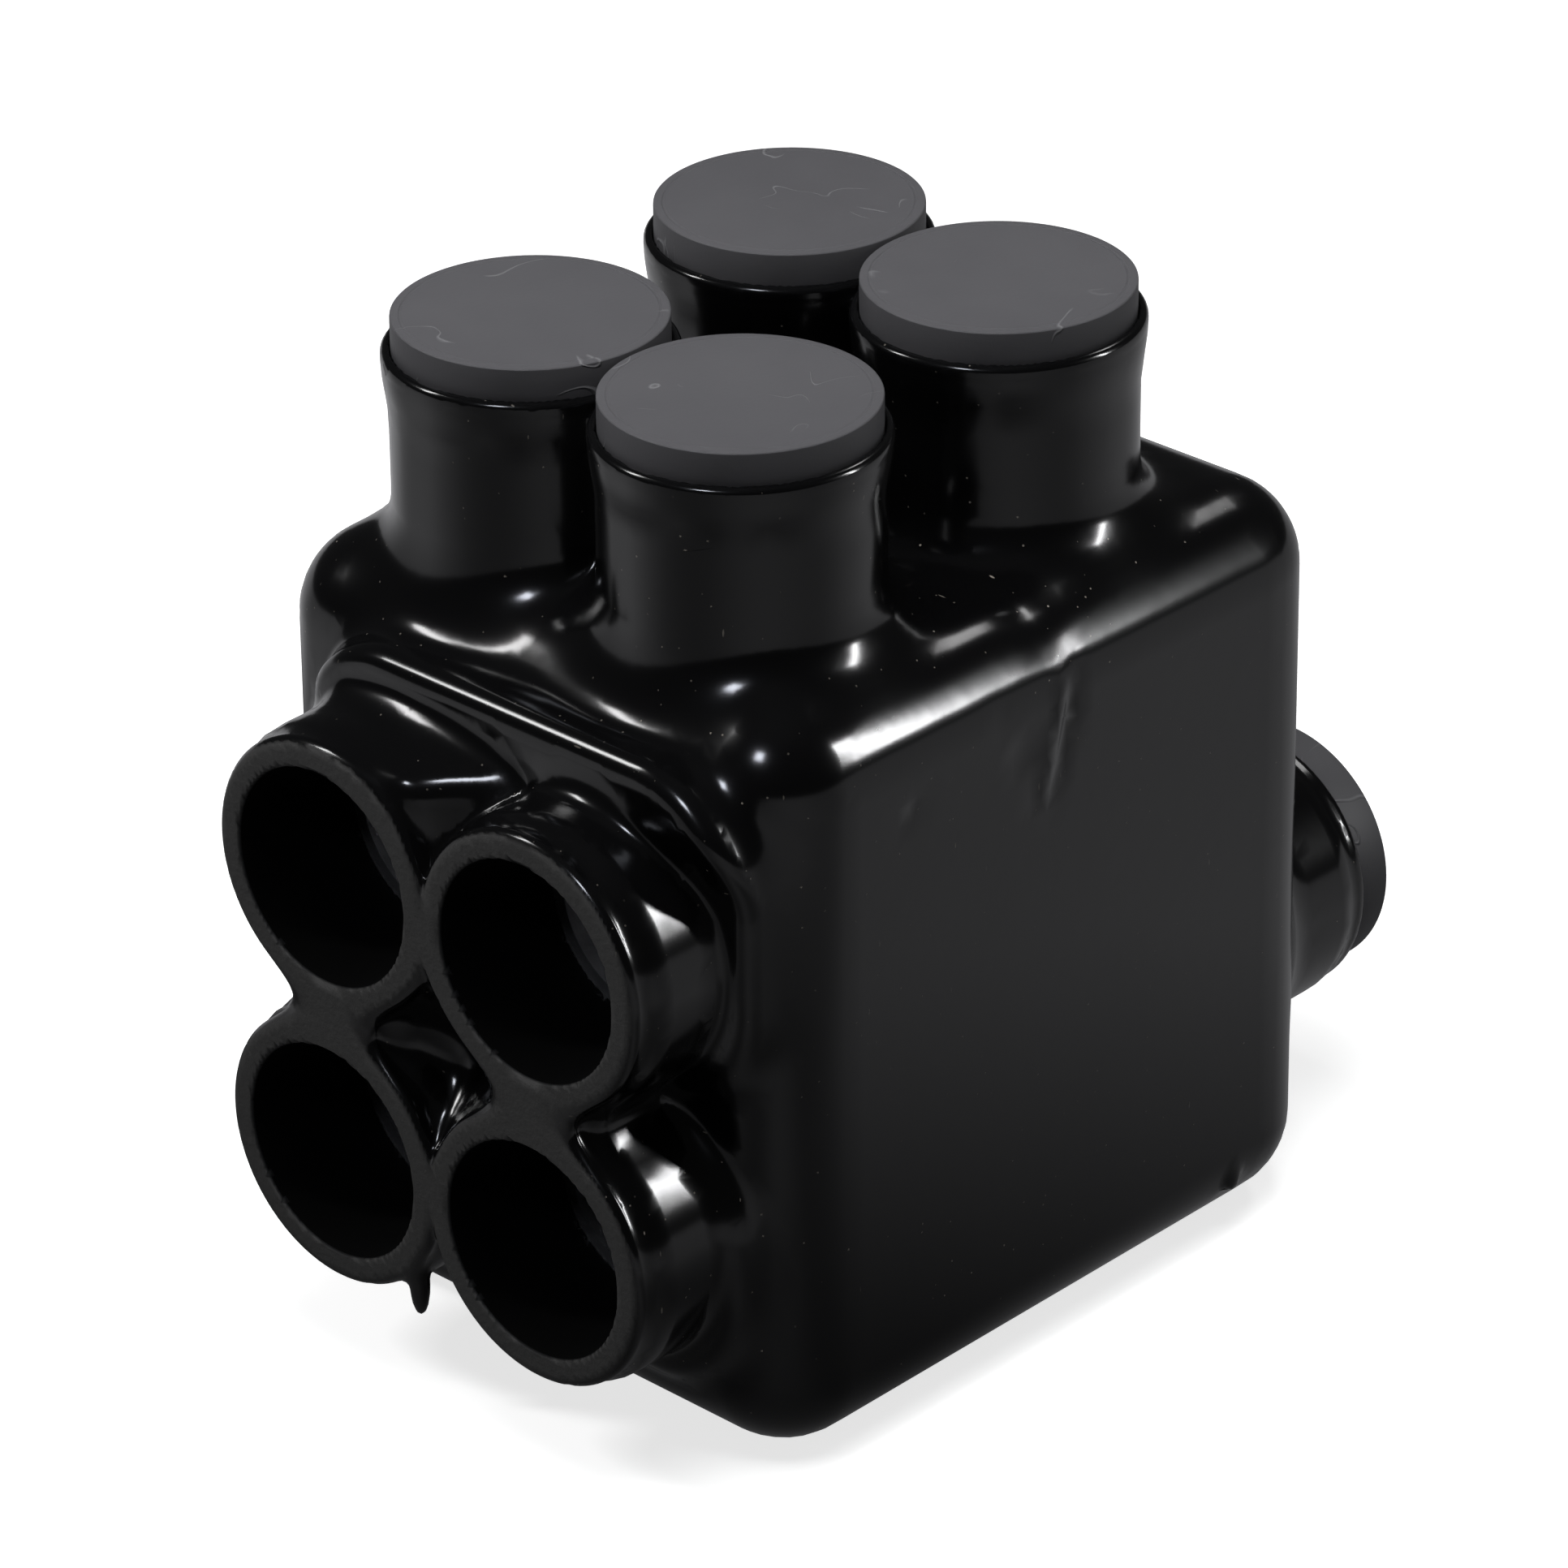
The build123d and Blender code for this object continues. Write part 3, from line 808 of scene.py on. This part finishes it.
def plug_rubber():
    """Matte black rubber with a faint bloom, fine scratches and handling scuffs."""
    material, tree, shader = new_material("plug_rubber", Roughness=0.55, Specular_IOR_Level=0.2)
    place = add_node(tree, "ShaderNodeTexCoord")
    cloud = add_node(tree, "ShaderNodeTexNoise", Scale=60.0, Detail=5.0)
    shade = blend_node(tree, start=(0.082, 0.081, 0.088), end=(0.108, 0.107, 0.114))
    wire(tree, place, "Object", cloud, "Vector")
    wire(tree, cloud, "Fac", shade, "Factor")

    curl = add_node(tree, "ShaderNodeTexNoise", Scale=75.0, Detail=1.5, Distortion=0.6)
    offset = add_node(tree, "ShaderNodeMath", {"operation": "SUBTRACT"})
    offset.inputs[1].default_value = 0.5
    across = add_node(tree, "ShaderNodeMath", {"operation": "ABSOLUTE"})
    line = add_node(tree, "ShaderNodeMapRange", From_Max=0.006, To_Min=1.0, To_Max=0.0)
    where = add_node(tree, "ShaderNodeTexNoise", Scale=110.0, Detail=1.0)
    some = add_node(tree, "ShaderNodeMapRange", From_Min=0.56, From_Max=0.62)
    scratch = add_node(tree, "ShaderNodeMath", {"operation": "MULTIPLY"})
    wire(tree, place, "Object", curl, "Vector")
    wire(tree, curl, "Fac", offset, 0)
    wire(tree, offset, "Value", across, 0)
    wire(tree, across, "Value", line, "Value")
    wire(tree, place, "Object", where, "Vector")
    wire(tree, where, "Fac", some, "Value")
    wire(tree, line, "Result", scratch, 0)
    wire(tree, some, "Result", scratch, 1)

    scuffed = blend_node(tree, end=(0.2, 0.2, 0.21))
    wire(tree, shade, "Result", scuffed, "A")
    wire(tree, scratch, "Value", scuffed, "Factor")
    wire(tree, scuffed, "Result", shader, "Base Color")

    grain = add_node(tree, "ShaderNodeTexNoise", Scale=1600.0, Detail=3.0)
    grain_bump = add_node(tree, "ShaderNodeBump", Strength=0.12, Distance=0.0002)
    scratch_bump = add_node(tree, "ShaderNodeBump", Strength=0.5, Distance=0.0003)
    wire(tree, place, "Object", grain, "Vector")
    wire(tree, grain, "Fac", grain_bump, "Height")
    wire(tree, scratch, "Value", scratch_bump, "Height")
    wire(tree, grain_bump, "Normal", scratch_bump, "Normal")
    wire(tree, scratch_bump, "Normal", shader, "Normal")
    return material


rubber = plug_rubber()
for row in tower_rows:
    for side in columns:
        seat = (column_x[side], tower_y[row], plug_top_z - plug_head_height)
        mesh = plug_mesh(f"access_plug_{row}_{side}_moulded", seat, (0, 0, 1), (1, 0, 0))
        mesh.materials.append(rubber)
        hand_over(mesh, f"access_plug_{row}_{side}", [f"access_plug_{row}_{side}"])
for side in columns:
    seat = (column_x[side], rear_plug_end[side] - plug_head_height, lower_port_z)
    mesh = plug_mesh(f"rear_port_plug_{side}_moulded", seat, (0, 1, 0), (1, 0, 0))
    mesh.materials.append(rubber)
    hand_over(mesh, f"rear_port_plug_{side}", [f"rear_port_plug_{side}"])
